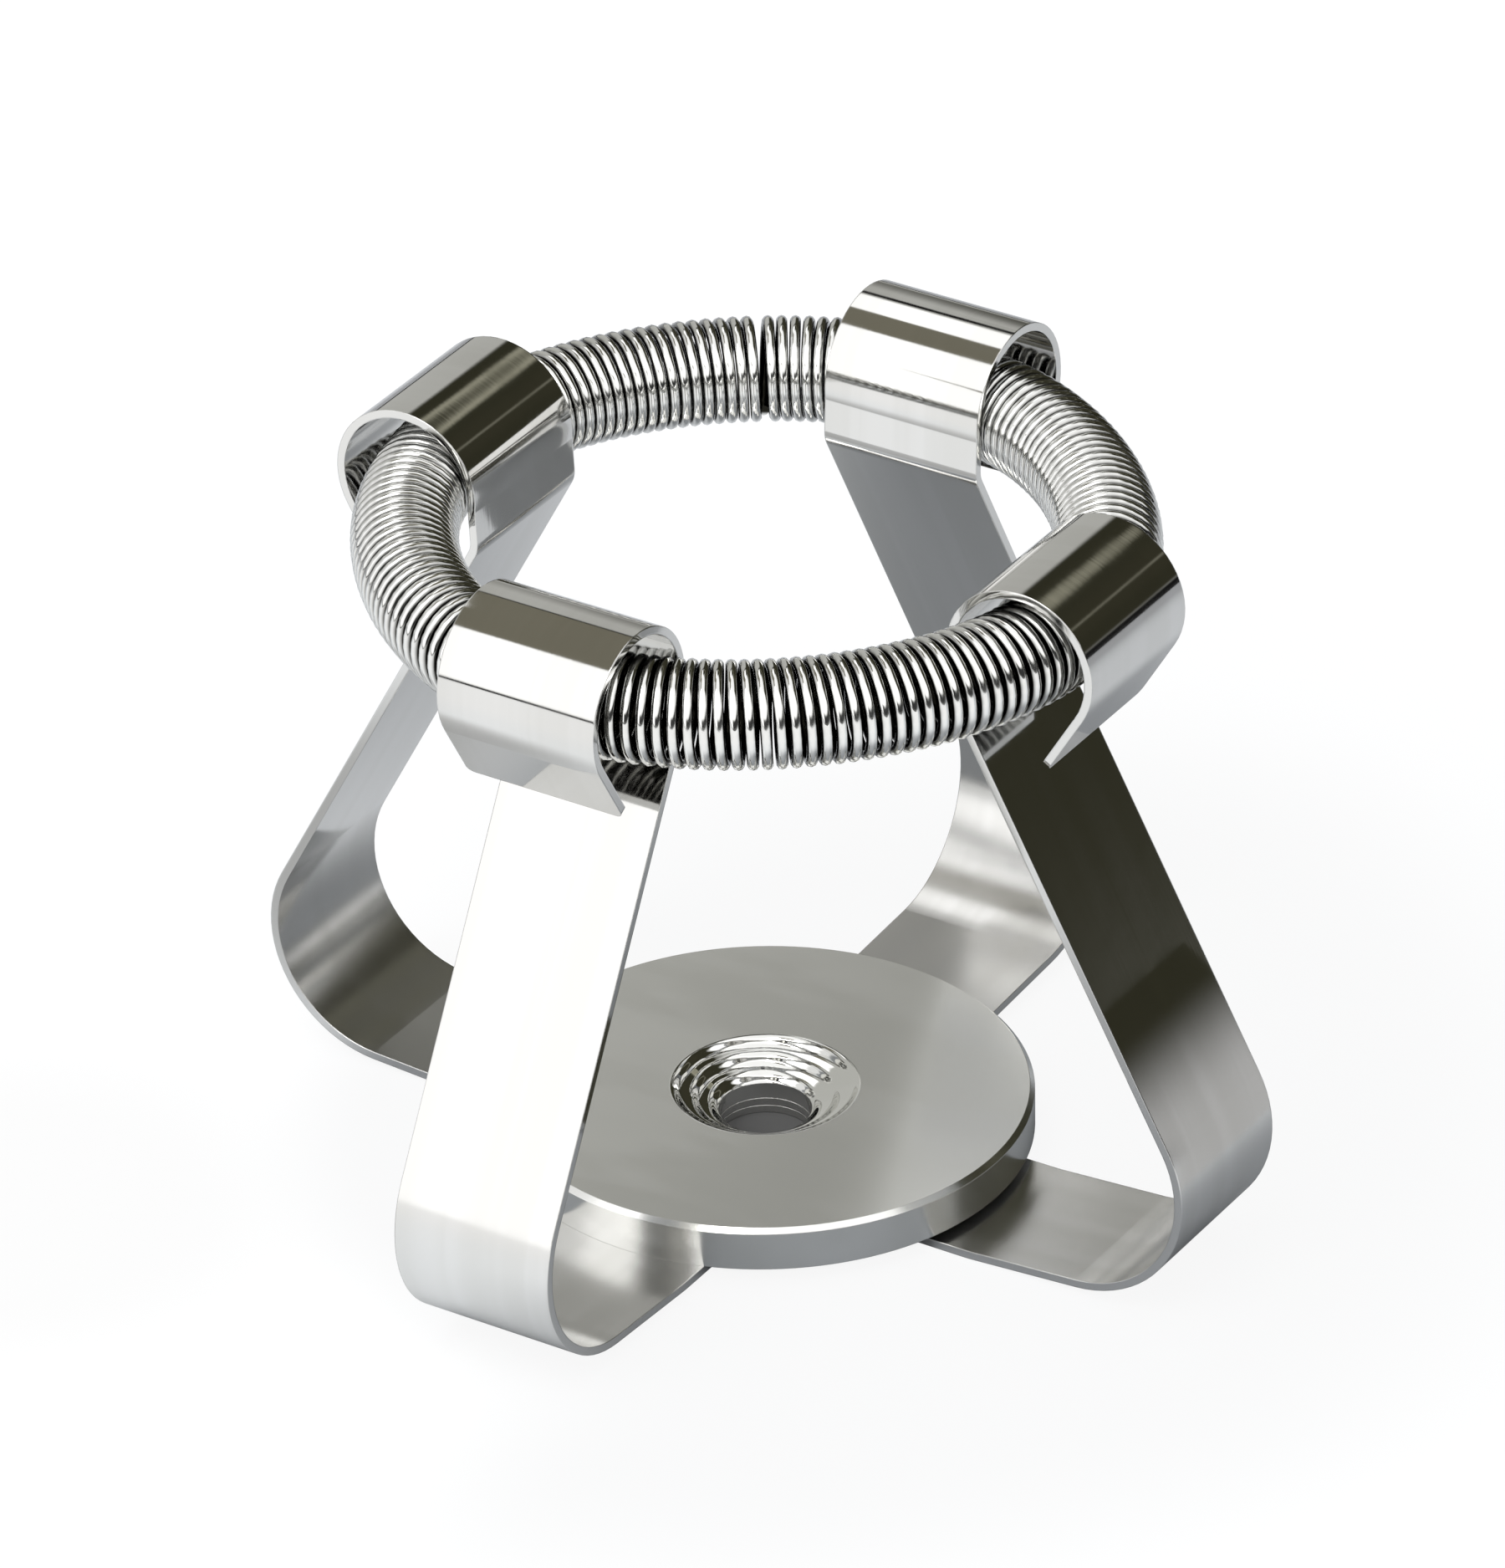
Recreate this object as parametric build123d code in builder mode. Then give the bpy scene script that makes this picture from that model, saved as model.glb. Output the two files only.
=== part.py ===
# Shaker flask clamp: four spring arms on a round base plate, with a coil spring ring held in their hooks.
# Millimetres and degrees. The screw hole's axis is Z, and the clamp stands on the plane z = 0.

import os
from math import atan2, cos, degrees, pi, radians, sin

from build123d import *

# Base plate with its countersunk screw hole
plate_diameter = 38.0
plate_thickness = 3.2
plate_edge_chamfer = 0.35
screw_hole_diameter = 6.6
countersink_diameter = 13.4
countersink_angle = 120.0

# Spring strips, each bent up into two arms
strip_width = 12.4
strip_thickness = 0.6
foot_overhang = 1.0
foot_rise_angle = 3.5
foot_rise_radius = 12.0
bulge_radius = 37.5
bend_radius = 9.0
arm_lean_angle = 28.5
arm_length = 35.2
lip_corner_radius = 0.6

# Hook at the head of each arm, which curls outward over the ring
crease_radius = 1.5
wall_length = 2.4
wall_lean_angle = 3.0
loop_radius = 5.1
loop_start_angle = 5.0
loop_turn_angle = 216.0
lip_length = 5.2

# Ring of closely wound wire, drawn out a little at each hook, with a joint where its two ends meet
coil_diameter = 7.5
wire_diameter = 0.8
groove_depth = 0.3
coil_sides = 16
hook_count = 4
ring_corner_bulge = 0.3
ring_drop = 0.65
ring_clearance = 0.3
joint_angle = 121.5
joint_gap = 0.5

# Heights of the stack: lower strip, upper strip, plate
lower_strip_bottom = 0.0
upper_strip_bottom = lower_strip_bottom + strip_thickness
plate_bottom = upper_strip_bottom + strip_thickness
foot_reach = plate_diameter / 2 + foot_overhang


def arm_outline(strip_bottom):
    """One half strip's outer face in side view, from the screw axis out, up the arm and round the hook.

    Gives back its wall and its loop, which the ring lies against and hangs in.
    """
    bend_start_radius = bulge_radius - bend_radius + bend_radius * sin(radians(foot_rise_angle))
    rise_end_radius = foot_reach + foot_rise_radius * sin(radians(foot_rise_angle))
    run_length = (bend_start_radius - rise_end_radius) / cos(radians(foot_rise_angle))
    foot = Line((0, strip_bottom), (foot_reach, strip_bottom))
    rise = JernArc(foot @ 1, foot % 1, foot_rise_radius, foot_rise_angle)
    run = PolarLine(rise @ 1, run_length, direction=rise % 1)
    bend = JernArc(run @ 1, run % 1, bend_radius, 90 - foot_rise_angle + arm_lean_angle)
    arm = PolarLine(bend @ 1, arm_length, direction=bend % 1)
    lower_crease = JernArc(arm @ 1, arm % 1, crease_radius, -arm_lean_angle - wall_lean_angle)
    wall = PolarLine(lower_crease @ 1, wall_length, direction=lower_crease % 1)
    upper_crease = JernArc(wall @ 1, wall % 1, crease_radius, wall_lean_angle + loop_start_angle)
    loop = JernArc(upper_crease @ 1, upper_crease % 1, loop_radius, -loop_turn_angle)
    PolarLine(loop @ 1, lip_length, direction=loop % 1)
    return wall, loop


def bent_strip(side_plane, strip_bottom):
    """A strip whose two arms lie in the given side plane, with the screw hole through its middle."""
    with BuildPart() as strip:
        with BuildSketch(side_plane):
            with BuildLine():
                arm_outline(strip_bottom)
                offset(amount=strip_thickness, side=Side.LEFT)
            make_face()
            mirror(about=Plane.YZ)
        extrude(amount=strip_width / 2, both=True)
        lip_ends = strip.faces().filter_by(GeomType.PLANE).sort_by(SortBy.AREA)[:2]
        fillet(lip_ends.edges().sort_by(SortBy.LENGTH)[:4], lip_corner_radius)
        with Locations((0, 0, strip_bottom + strip_thickness)):
            Hole(screw_hole_diameter / 2)
    return strip


lower_strip = bent_strip(Plane.XZ, lower_strip_bottom)
lower_strip.part.label = "lower_strip"

upper_strip = bent_strip(Plane.YZ, upper_strip_bottom)
upper_strip.part.label = "upper_strip"

with BuildPart() as base_plate:
    with BuildSketch(Plane.XY.offset(plate_bottom)):
        Circle(plate_diameter / 2)
    extrude(amount=plate_thickness)
    plate_top = base_plate.faces().sort_by(Axis.Z)[-1]
    chamfer(plate_top.edges(), plate_edge_chamfer)
    with Locations(base_plate.faces().sort_by(Axis.Z)[-1]):
        CounterSinkHole(
            screw_hole_diameter / 2,
            countersink_diameter / 2,
            counter_sink_angle=countersink_angle,
        )
base_plate.part.label = "base_plate"

# The curved ring meets a hook's flat wall at the strip's two edges, and its turns touch along its inside
with BuildLine() as upper_arm:
    upper_wall, upper_loop = arm_outline(upper_strip_bottom)
ring_height = upper_loop.arc_center.Y - ring_drop
edge_reach = (upper_wall @ 1).X + coil_diameter / 2 + ring_clearance
edge_angle = atan2(strip_width / 2, edge_reach)
ring_radius = edge_reach / cos(edge_angle) - ring_corner_bulge * cos(hook_count * edge_angle)
inner_radius = ring_radius - coil_diameter / 2 + wire_diameter / 2
coil_turns = round((2 * pi * inner_radius - joint_gap) / wire_diameter)
coil_arc = 360 - degrees(joint_gap / ring_radius)
coil_start = joint_angle + degrees(joint_gap / ring_radius) / 2


def ring_plane(angle):
    """Plane square across the ring, at an angle round the screw axis."""
    turn = radians(angle)
    radius = ring_radius + ring_corner_bulge * cos(hook_count * turn)
    radius_change = -hook_count * ring_corner_bulge * sin(hook_count * turn)
    outward = Vector(cos(turn), sin(turn))
    onward = Vector(-sin(turn), cos(turn))
    centre = outward * radius + Vector(0, 0, ring_height)
    return Plane(origin=centre, x_dir=(0, 0, 1), z_dir=outward * radius_change + onward * radius)


# Each turn of the coil is a ridge, and the coil runs from one side of the joint round to the other
with BuildPart() as ring_spring:
    for half_turn in range(2 * coil_turns + 1):
        groove = groove_depth if half_turn % 2 == 0 else 0
        with BuildSketch(ring_plane(coil_start + coil_arc * half_turn / (2 * coil_turns))):
            RegularPolygon(coil_diameter / 2 - groove, coil_sides)
    loft(ruled=True)
ring_spring.part.label = "ring_spring"

os.makedirs("parts", exist_ok=True)
export_step(lower_strip.part, "parts/lower_strip.step")
export_step(upper_strip.part, "parts/upper_strip.step")
export_step(base_plate.part, "parts/base_plate.step")
export_step(ring_spring.part, "parts/ring_spring.step")
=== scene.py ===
"""Studio picture of the shaker flask clamp: wound ring spring, finishes of the steel, camera and light."""

import math

import bpy
from mathutils import Matrix, Vector


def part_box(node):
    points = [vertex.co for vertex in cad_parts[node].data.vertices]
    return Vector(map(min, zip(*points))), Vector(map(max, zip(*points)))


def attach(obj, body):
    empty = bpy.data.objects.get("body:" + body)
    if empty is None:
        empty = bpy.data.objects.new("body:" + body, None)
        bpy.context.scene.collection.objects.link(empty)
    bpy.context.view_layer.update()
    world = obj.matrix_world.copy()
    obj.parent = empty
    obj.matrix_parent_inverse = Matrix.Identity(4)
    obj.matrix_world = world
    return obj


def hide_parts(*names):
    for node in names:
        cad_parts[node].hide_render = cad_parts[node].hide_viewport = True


MM = 0.001

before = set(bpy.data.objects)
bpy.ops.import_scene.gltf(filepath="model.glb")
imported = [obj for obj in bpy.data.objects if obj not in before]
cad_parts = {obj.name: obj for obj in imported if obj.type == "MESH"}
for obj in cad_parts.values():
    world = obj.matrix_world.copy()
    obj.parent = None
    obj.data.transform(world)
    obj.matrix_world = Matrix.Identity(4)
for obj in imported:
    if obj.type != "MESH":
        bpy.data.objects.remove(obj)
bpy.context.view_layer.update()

# Ring spring: wire wound round the same ring as the solid that it replaces
coil_diameter = 7.5 * MM
wire_diameter = 0.8 * MM
ring_corner_bulge = 0.3 * MM
hook_count = 4
joint_angle = 121.5
joint_gap = 0.5 * MM
steps_per_turn = 28
wire_sides = 10

ring_low, ring_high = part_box("ring_spring")
ring_height = (ring_low.z + ring_high.z) / 2
ring_radius = ring_high.x - coil_diameter / 2 - ring_corner_bulge
wire_path_radius = (coil_diameter - wire_diameter) / 2
coil_turns = round((2 * math.pi * (ring_radius - wire_path_radius) - joint_gap) / wire_diameter)


def new_object(name, verts, faces):
    mesh = bpy.data.meshes.new(name)
    mesh.from_pydata(verts, [], faces)
    new = bpy.data.objects.new(name, mesh)
    bpy.context.scene.collection.objects.link(new)
    return new


def ring_frame(turn):
    """The coil's centre at an angle round the screw axis, and the level direction out of the ring there."""
    radius = ring_radius + ring_corner_bulge * math.cos(hook_count * turn)
    radius_change = -hook_count * ring_corner_bulge * math.sin(hook_count * turn)
    outward = Vector((math.cos(turn), math.sin(turn), 0))
    onward = Vector((-math.sin(turn), math.cos(turn), 0))
    along = (outward * radius_change + onward * radius).normalized()
    return outward * radius + Vector((0, 0, ring_height)), along.cross(Vector((0, 0, 1)))


def wire_point(share):
    """Middle of the wire, from one cut end (0) to the other (1).

    Gives back the way to it from the coil's centre line too.
    """
    end_space = joint_gap / 2 / ring_radius
    start = math.radians(joint_angle) + end_space
    turn = start + share * (2 * math.pi - 2 * end_space)
    centre, outward = ring_frame(turn)
    wind = -2 * math.pi * coil_turns * share - math.pi / 2
    arm = outward * math.cos(wind) + Vector((0, 0, math.sin(wind)))
    return centre + arm * wire_path_radius, arm


def ring_wire():
    """The whole wound wire as one closed tube with flat cut ends."""
    steps = coil_turns * steps_per_turn
    verts = []
    for step in range(steps + 1):
        here, arm = wire_point(step / steps)
        before = wire_point((step - 0.5) / steps)[0]
        after = wire_point((step + 0.5) / steps)[0]
        along = (after - before).normalized()
        across = (arm - along * arm.dot(along)).normalized()
        side = along.cross(across)
        for corner in range(wire_sides):
            angle = 2 * math.pi * corner / wire_sides
            verts.append(here + (across * math.cos(angle) + side * math.sin(angle)) * wire_diameter / 2)
    faces = []
    for step in range(steps):
        for corner in range(wire_sides):
            following = (corner + 1) % wire_sides
            a = step * wire_sides
            b = a + wire_sides
            faces.append((a + corner, a + following, b + following, b + corner))
    faces.append(tuple(reversed(range(wire_sides))))
    faces.append(tuple(range(steps * wire_sides, (steps + 1) * wire_sides)))
    piece = new_object("ring_spring_wire", verts, faces)
    piece.data.polygons.foreach_set("use_smooth", [len(face) == 4 for face in faces])
    return piece


# Node helpers


def add_node(tree, kind, inputs=None, **settings):
    """A new node with its settings made, and its inputs linked from sockets or set to values."""
    node = tree.nodes.new(kind)
    for name, value in settings.items():
        setattr(node, name, value)
    for key, value in (inputs or {}).items():
        if isinstance(value, bpy.types.NodeSocket):
            tree.links.new(value, node.inputs[key])
        else:
            node.inputs[key].default_value = value
    return node


def maths(tree, operation, first, second=0.0):
    node = add_node(tree, "ShaderNodeMath", {0: first, 1: second}, operation=operation)
    return node.outputs[0]


def ramp(tree, value, low, high, start=0.0, end=1.0):
    """Goes smoothly from start to end as the value goes from low to high."""
    inputs = {"Value": value, "From Min": low, "From Max": high, "To Min": start, "To Max": end}
    node = add_node(tree, "ShaderNodeMapRange", inputs, interpolation_type="SMOOTHSTEP")
    return node.outputs["Result"]


def mix_colour(tree, share, first, second):
    return add_node(tree, "ShaderNodeMix", {0: share, 6: first, 7: second}, data_type="RGBA").outputs[2]


def vector_maths(tree, operation, *vectors):
    return add_node(tree, "ShaderNodeVectorMath", dict(enumerate(vectors)), operation=operation)


def own_place(tree):
    """Position in the piece's own coordinates."""
    return add_node(tree, "ShaderNodeTexCoord").outputs["Object"]


def axis_distance(tree, place):
    """How far a place lies from the screw axis."""
    level = vector_maths(tree, "MULTIPLY", place, (1, 1, 0)).outputs[0]
    return vector_maths(tree, "LENGTH", level).outputs["Value"]


def bump(tree, strength, depth, height, normal):
    inputs = {"Strength": strength, "Distance": depth, "Height": height, "Normal": normal}
    return add_node(tree, "ShaderNodeBump", inputs).outputs[0]


def rounded_edges(tree, radius, samples):
    return add_node(tree, "ShaderNodeBevel", {"Radius": radius}, samples=samples).outputs[0]


def blank_material(name):
    material = bpy.data.materials.new(name)
    material.use_nodes = True
    material.node_tree.nodes.clear()
    return material, material.node_tree


def grey(level, tint=(1, 1, 1)):
    return (level * tint[0], level * tint[1], level * tint[2], 1)


# Steel finishes, from the piece's own coordinates

strip_edge_rounding = 0.13 * MM
drawn_line_depth = 0.003 * MM
dent_depth = 0.03 * MM
dull_up_to = 5 * MM
dull_roughness = 0.24
polished_from = 22 * MM
polished_roughness = 0.06
plate_edge_rounding = 0.08 * MM
turned_within = 6.6 * MM
flat_beyond = 6.75 * MM
turning_period = 1.3 * MM
turning_wobble = 2.5
turning_depth = 0.06 * MM
groove_bottom = 0.32 * MM
groove_top = 0.03 * MM


def steel(name, colour, roughness):
    """A metal material, its nodes and its shader. What varies over the surface is linked to the shader."""
    material = bpy.data.materials.new(name)
    material.use_nodes = True
    tree = material.node_tree
    shader = tree.nodes["Principled BSDF"]
    shader.inputs["Base Color"].default_value = (*colour, 1)
    shader.inputs["Metallic"].default_value = 1
    shader.inputs["Roughness"].default_value = roughness
    return material, tree, shader


def stretched_noise(tree, scale, detail):
    """Noise drawn out along the axes where the scale, in features a metre, is small."""
    stretch = vector_maths(tree, "MULTIPLY", own_place(tree), scale)
    inputs = {"Vector": stretch.outputs[0], "Scale": 1.0, "Detail": detail}
    return add_node(tree, "ShaderNodeTexNoise", inputs).outputs["Fac"]


def strip_steel(name, along, across):
    """Spring strip, polished above and duller in its bends, with fine lines along its length."""
    material, tree, shader = steel(name, (0.74, 0.735, 0.72), 0.12)
    height = add_node(tree, "ShaderNodeSeparateXYZ", {0: own_place(tree)}).outputs["Z"]
    fine = Vector(along) * 30 + Vector(across) * 2800 + Vector((0, 0, 30))
    broad = Vector(along) * 9 + Vector(across) * 420 + Vector((0, 0, 9))
    lines = stretched_noise(tree, fine, 2.0)
    bands = stretched_noise(tree, broad, 4.0)
    clouds = stretched_noise(tree, (90, 90, 90), 3.0)
    drawn = bump(tree, 0.25, drawn_line_depth, lines, rounded_edges(tree, strip_edge_rounding, 6))
    tree.links.new(bump(tree, 0.3, dent_depth, clouds, drawn), shader.inputs["Normal"])
    polish = ramp(tree, height, dull_up_to, polished_from, dull_roughness, polished_roughness)
    streaks = ramp(tree, bands, 0.35, 0.7, -0.012, 0.018)
    tree.links.new(maths(tree, "ADD", polish, streaks), shader.inputs["Roughness"])
    colour = mix_colour(tree, ramp(tree, bands, 0.35, 0.65), (0.765, 0.76, 0.745, 1), (0.725, 0.72, 0.70, 1))
    tree.links.new(colour, shader.inputs["Base Color"])
    return material


def plate_steel():
    """Ground round plate, with coarse turning steps in the countersink and faint smears on its top."""
    material, tree, shader = steel("plate_steel_ground", (0.66, 0.66, 0.645), 0.25)
    radius = axis_distance(tree, own_place(tree))
    in_countersink = ramp(tree, radius, turned_within, flat_beyond, 1.0, 0.0)
    wobble = maths(tree, "MULTIPLY", stretched_noise(tree, (220, 220, 220), 1.0), turning_wobble)
    phase = maths(tree, "ADD", maths(tree, "MULTIPLY", radius, 2 * math.pi / turning_period), wobble)
    turning = maths(tree, "MULTIPLY", maths(tree, "SINE", phase), in_countersink)
    smears = stretched_noise(tree, (45, 140, 90), 3.0)
    turned = bump(tree, 1.0, turning_depth, turning, rounded_edges(tree, plate_edge_rounding, 4))
    tree.links.new(turned, shader.inputs["Normal"])
    top_roughness = ramp(tree, smears, 0.35, 0.65, 0.17, 0.20)
    roughness = maths(tree, "MULTIPLY", top_roughness, ramp(tree, in_countersink, 0.0, 1.0, 1.0, 0.3))
    tree.links.new(roughness, shader.inputs["Roughness"])
    colour = mix_colour(tree, ramp(tree, smears, 0.42, 0.6), (0.87, 0.87, 0.85, 1), (0.83, 0.83, 0.805, 1))
    tree.links.new(colour, shader.inputs["Base Color"])
    return material


def wire_steel():
    """Bright drawn wire, with painted shade in the grooves between the turns and inside the coil."""
    material, tree, shader = steel("spring_wire_bright", (0.8, 0.8, 0.78), 0.1)
    place = own_place(tree)
    axes = add_node(tree, "ShaderNodeSeparateXYZ", {0: place})
    turn = maths(tree, "ARCTAN2", axes.outputs["Y"], axes.outputs["X"])
    corner_wave = maths(tree, "COSINE", maths(tree, "MULTIPLY", turn, hook_count))
    centre = maths(tree, "ADD", maths(tree, "MULTIPLY", corner_wave, ring_corner_bulge), ring_radius)
    sideways = maths(tree, "SUBTRACT", axis_distance(tree, place), centre)
    upward = maths(tree, "SUBTRACT", axes.outputs["Z"], ring_height)
    squares = maths(tree, "ADD", maths(tree, "POWER", sideways, 2), maths(tree, "POWER", upward, 2))
    from_middle = maths(tree, "SQRT", squares)
    outermost = coil_diameter / 2
    # Painted shade: near black where the wire faces into the coil and towards its neighbouring turns
    groove_shade = ramp(tree, from_middle, outermost - groove_bottom, outermost - groove_top, 1.0, 0.0)
    colour = mix_colour(tree, groove_shade, (0.84, 0.84, 0.82, 1), (0.022, 0.021, 0.016, 1))
    tree.links.new(colour, shader.inputs["Base Color"])
    uneven = stretched_noise(tree, (650, 650, 650), 2.0)
    tree.links.new(ramp(tree, uneven, 0.3, 0.7, 0.07, 0.16), shader.inputs["Roughness"])
    return material


def dress(piece, material):
    piece.data.materials.clear()
    piece.data.materials.append(material)


ring = ring_wire()
dress(ring, wire_steel())
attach(ring, "root")
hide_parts("ring_spring")

dress(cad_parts["lower_strip"], strip_steel("strip_steel_lower", (1, 0, 0), (0, 1, 0)))
dress(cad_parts["upper_strip"], strip_steel("strip_steel_upper", (0, 1, 0), (1, 0, 0)))
dress(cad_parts["base_plate"], plate_steel())

# Camera, at the photograph's angle

view_azimuth = math.radians(32.5)
view_elevation = math.radians(30.6)
view_roll = math.radians(0.93)
view_distance = 819.5 * MM
view_centre_height = 26.2 * MM
view_offset = Vector((-0.57, 2.34)) * MM
photo_height = 1875
focal_length_in_pixels = 14126

back = Vector(
    (
        math.sin(view_azimuth) * math.cos(view_elevation),
        -math.cos(view_azimuth) * math.cos(view_elevation),
        math.sin(view_elevation),
    )
)
level_right = Vector((math.cos(view_azimuth), math.sin(view_azimuth), 0))
level_up = back.cross(level_right)
right = level_right * math.cos(view_roll) - level_up * math.sin(view_roll)
up = level_up * math.cos(view_roll) + level_right * math.sin(view_roll)
target = Vector((0, 0, view_centre_height)) + right * view_offset.x + up * view_offset.y
camera = bpy.data.objects.new("camera", bpy.data.cameras.new("camera"))
bpy.context.scene.collection.objects.link(camera)
camera.data.lens = camera.data.sensor_width * focal_length_in_pixels / photo_height
camera.data.clip_start = 10 * MM
camera.data.clip_end = 20
columns = (right, up, back, target + back * view_distance)
camera.matrix_world = Matrix([[column[row] for column in columns] for row in range(3)] + [[0, 0, 0, 1]])
bpy.context.scene.camera = camera

# Floor: white to the camera apart from a soft shadow. In reflections it is brightest at the front left, with
# a painted glow there and painted shade close to the clamp

floor_radius = 0.9
floor_drop = 0.02 * MM
rim_angles = [math.radians(angle) for angle in range(0, 360, 5)]
rim = [(floor_radius * math.cos(turn), floor_radius * math.sin(turn), -floor_drop) for turn in rim_angles]
floor = new_object("floor", rim, [tuple(range(len(rim)))])
floor_material, floor_tree = blank_material("pale_floor")
floor_place = own_place(floor_tree)
floor_reach = vector_maths(floor_tree, "LENGTH", floor_place).outputs["Value"]


def studio_turn(side):
    """Angle round the screw axis of a side of the studio. Side 0 is the camera's, and 90 is its right."""
    return math.radians(side) - math.pi / 2 + view_azimuth


# Ramps over the floor, with their lengths in millimetres


def outward(low, high, start=0.0, end=1.0):
    return ramp(floor_tree, floor_reach, low * MM, high * MM, start, end)


def towards(side, low, high):
    turn = studio_turn(side)
    along = vector_maths(floor_tree, "DOT_PRODUCT", floor_place, (math.cos(turn), math.sin(turn), 0))
    return ramp(floor_tree, along.outputs["Value"], low * MM, high * MM)


def away_from(x, y, low, high):
    distance = vector_maths(floor_tree, "DISTANCE", floor_place, (x * MM, y * MM, 0))
    return ramp(floor_tree, distance.outputs["Value"], low * MM, high * MM)


def over_floor(share, first, second):
    return mix_colour(floor_tree, share, first, second)


# Colours of the floor as the steel mirrors it: bright in front, duller behind, and painted shade close to
# the plate, with patches of it behind, to the left and to the right
front_sheet = (0.84, 0.87, 0.90, 1)
back_sheet = (0.62, 0.64, 0.67, 1)
distant_sheet = (0.40, 0.41, 0.43, 1)
floor_shade = (0.31, 0.325, 0.345, 1)
floor_shade_left = (0.46, 0.465, 0.47, 1)
hole_shade = (0.14, 0.14, 0.14, 1)
white_strength = 1.06
front_left = towards(-20, 20, 60)
shade_near_right = maths(floor_tree, "MULTIPLY", towards(60, -12, 12), outward(42, 75, 1.0, 0.0))
clear_of_hole = outward(8, 18)

sheet = over_floor(outward(120, 350), back_sheet, distant_sheet)
sheet = over_floor(towards(-20, -50, 60), sheet, front_sheet)
# Painted shade of the clamp on the floor, seen in the steel: patches behind, to the left and to the right,
# and a ring round the plate
sheet = over_floor(away_from(-0.7, 29.2, 12, 46), floor_shade, sheet)
sheet = over_floor(away_from(-41.2, -35.8, 12, 30), floor_shade_left, sheet)
sheet = over_floor(shade_near_right, sheet, floor_shade)
sheet = over_floor(outward(28, 38), floor_shade, sheet)
sheet = over_floor(clear_of_hole, hole_shade, sheet)

# White to the camera, less so close to the clamp, where its shadow shows. To the steel it is a painted white
# glow at the front left, weaker close to the clamp
light_path = add_node(floor_tree, "ShaderNodeLightPath")
to_camera = maths(floor_tree, "MULTIPLY", light_path.outputs["Is Camera Ray"], outward(80, 200, 0.86, 1.0))
painted_glow = maths(floor_tree, "MULTIPLY", front_left, outward(40, 140, 0.3, 0.9))
to_metal = maths(floor_tree, "MULTIPLY", light_path.outputs["Is Glossy Ray"], painted_glow)
share = maths(floor_tree, "MULTIPLY", maths(floor_tree, "ADD", to_camera, to_metal), clear_of_hole)
lit = add_node(floor_tree, "ShaderNodeBsdfDiffuse", {"Color": sheet})
white = add_node(floor_tree, "ShaderNodeEmission", {"Color": (1, 1, 1, 1), "Strength": white_strength})
floor_look = add_node(floor_tree, "ShaderNodeMixShader", {0: share, 1: lit.outputs[0], 2: white.outputs[0]})
add_node(floor_tree, "ShaderNodeOutputMaterial", {"Surface": floor_look.outputs[0]})
dress(floor, floor_material)

# Studio around the object: white screens, a grey wall behind and dark card beyond the right

world = bpy.data.worlds.new("studio")
bpy.context.scene.world = world
world.use_nodes = True
studio = world.node_tree
studio.nodes.clear()
outlook = add_node(studio, "ShaderNodeTexCoord").outputs["Generated"]
rotation = {"Vector": outlook, "Angle": math.pi / 2 - view_azimuth}
turned = add_node(studio, "ShaderNodeVectorRotate", rotation, rotation_type="Z_AXIS")
axes = add_node(studio, "ShaderNodeSeparateXYZ", {0: turned.outputs[0]})
azimuth = maths(studio, "DEGREES", maths(studio, "ARCTAN2", axes.outputs[1], axes.outputs[0]))
height = maths(studio, "DEGREES", maths(studio, "ARCSINE", axes.outputs[2]))


def window(value, low, high, softness):
    """1 where the value is between low and high, and 0 elsewhere, with soft ends."""
    rising = ramp(studio, value, low - softness, low + softness)
    falling = ramp(studio, value, high - softness, high + softness, 1.0, 0.0)
    return maths(studio, "MULTIPLY", rising, falling)


# Each zone is azimuth from, azimuth to, height from, height to, softness, colour, and lies over those before
# it. All are in degrees. Azimuth 0 is the camera's side, and 90 is its right
wall_grey = grey(0.5, (1, 1, 0.95))
dark_card = grey(0.033, (1, 0.97, 0.6))
olive = grey(0.19, (1, 0.94, 0.72))
black = grey(0.01)
screen = grey(1.4)
zones = (
    (-200, 200, 60, 200, 3, grey(1.1)),
    (84, 176, 2.2, 55, 3, dark_card),
    (84, 172, 16, 36, 5, grey(0.038, (1, 0.95, 0.6))),
    (166, 200, 33, 60, 2, dark_card),
    (-200, -160, 36.5, 41, 1, black),
    (-174, -142, 43, 62, 1.5, screen),
    (-122, -80, -1, 50, 3, grey(0.85)),
    (-84, -18, -1, 50, 3, screen),
    (-92, -18, 45, 68, 2, screen),
    (-142, -92, 50, 66, 2, olive),
    (-32, 82, 19, 70, 3, grey(1.25)),
    (-22, 82, -1, 17, 3, grey(0.04)),
    (120, 176, 41.2, 43, 1, grey(0.35, (1, 0.97, 0.75))),
    (90, 135, 25, 26.6, 1, grey(0.18, (1, 0.97, 0.75))),
    (84, 170, -20, 2.5, 1, black),
    (-200, 200, -90, -1, 0.5, grey(0.02)),
)
colour = wall_grey
for azimuth_low, azimuth_high, height_low, height_high, softness, zone_colour in zones:
    inside = maths(
        studio,
        "MULTIPLY",
        window(azimuth, azimuth_low, azimuth_high, softness),
        window(height, height_low, height_high, softness),
    )
    colour = mix_colour(studio, inside, colour, zone_colour)
seen_directly = add_node(studio, "ShaderNodeLightPath").outputs["Is Camera Ray"]
colour = mix_colour(studio, seen_directly, colour, grey(1))
background = add_node(studio, "ShaderNodeBackground", {"Color": colour, "Strength": 1.0})
add_node(studio, "ShaderNodeOutputWorld", {"Surface": background.outputs[0]})

# Two small cards near the clamp that only its steel reflects, and one large soft lamp


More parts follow.
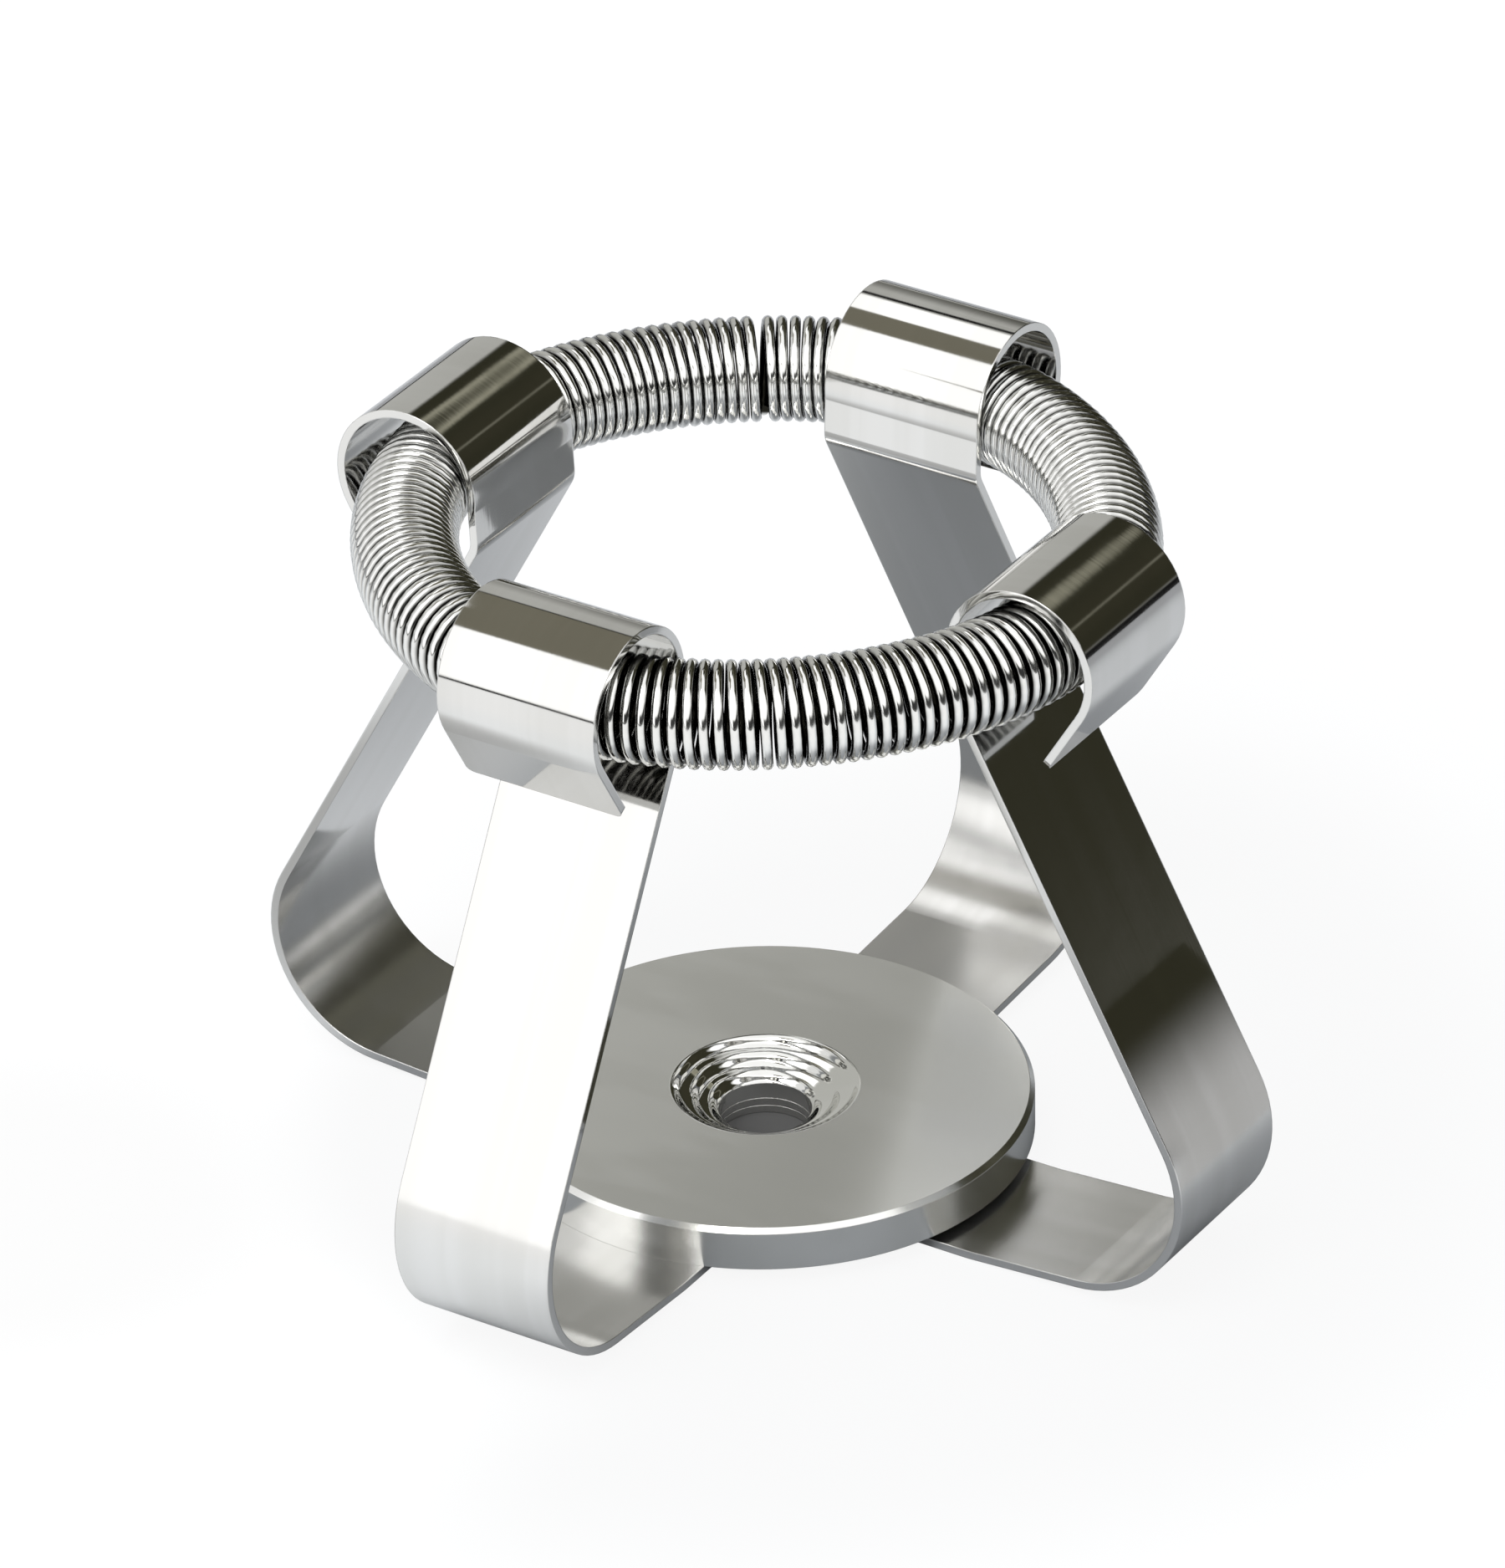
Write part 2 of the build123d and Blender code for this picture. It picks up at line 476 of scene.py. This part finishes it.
def reflected_card(name, rows, colour, top_colour=None, fade_from=0.0, fade_to=0.0):
    """Card that the camera doesn't see, from rows of two corners in millimetres.

    It can fade upward to another colour, between two heights in millimetres.
    """
    verts = [Vector(corner) * MM for row in rows for corner in row]
    faces = [(2 * row, 2 * row + 1, 2 * row + 3, 2 * row + 2) for row in range(len(rows) - 1)]
    card = new_object(name, verts, faces)
    card.visible_camera = False
    card.visible_diffuse = False
    card.visible_shadow = False
    material, tree = blank_material(name)
    if top_colour is not None:
        upward = add_node(tree, "ShaderNodeSeparateXYZ", {0: own_place(tree)}).outputs["Z"]
        colour = mix_colour(tree, ramp(tree, upward, fade_from * MM, fade_to * MM), colour, top_colour)
    glow = add_node(tree, "ShaderNodeEmission", {"Color": colour, "Strength": 1.0})
    add_node(tree, "ShaderNodeOutputMaterial", {"Surface": glow.outputs[0]})
    dress(card, material)


# Seen in the top of the front left hook
olive_rows = (
    ((-18.6, -9.4, 70.5), (-4.6, -9.4, 70.5)),
    ((-18.5, -20.0, 75.8), (-4.5, -20.0, 75.8)),
    ((-18.5, -24.0, 76.4), (-4.5, -24.0, 76.4)),
)
reflected_card("olive_card", olive_rows, olive)
# Seen in the foot of the front right arm
grey_rows = (((55, 13, 0.2), (55, 31, 0.2)), ((55, 13, 26), (55, 31, 26)))
reflected_card("grey_card", grey_rows, grey(0.52), top_colour=dark_card, fade_from=16, fade_to=23.5)


def soft_lamp(name, azimuth, elevation, distance, size, power):
    """A square lamp aimed at the clamp, with its distance and size in metres."""
    angle = studio_turn(azimuth)
    lift = math.radians(elevation)
    aim = Vector((math.cos(angle) * math.cos(lift), math.sin(angle) * math.cos(lift), math.sin(lift)))
    lamp = bpy.data.objects.new(name, bpy.data.lights.new(name, "AREA"))
    lamp.data.size = size
    lamp.data.energy = power
    lamp.location = Vector((0, 0, view_centre_height)) + aim * distance
    lamp.rotation_mode = "QUATERNION"
    lamp.rotation_quaternion = aim.to_track_quat("Z", "Y")
    bpy.context.scene.collection.objects.link(lamp)


soft_lamp("key", azimuth=-40, elevation=58, distance=1.1, size=0.6, power=4)

bpy.context.scene.view_settings.view_transform = "Standard"
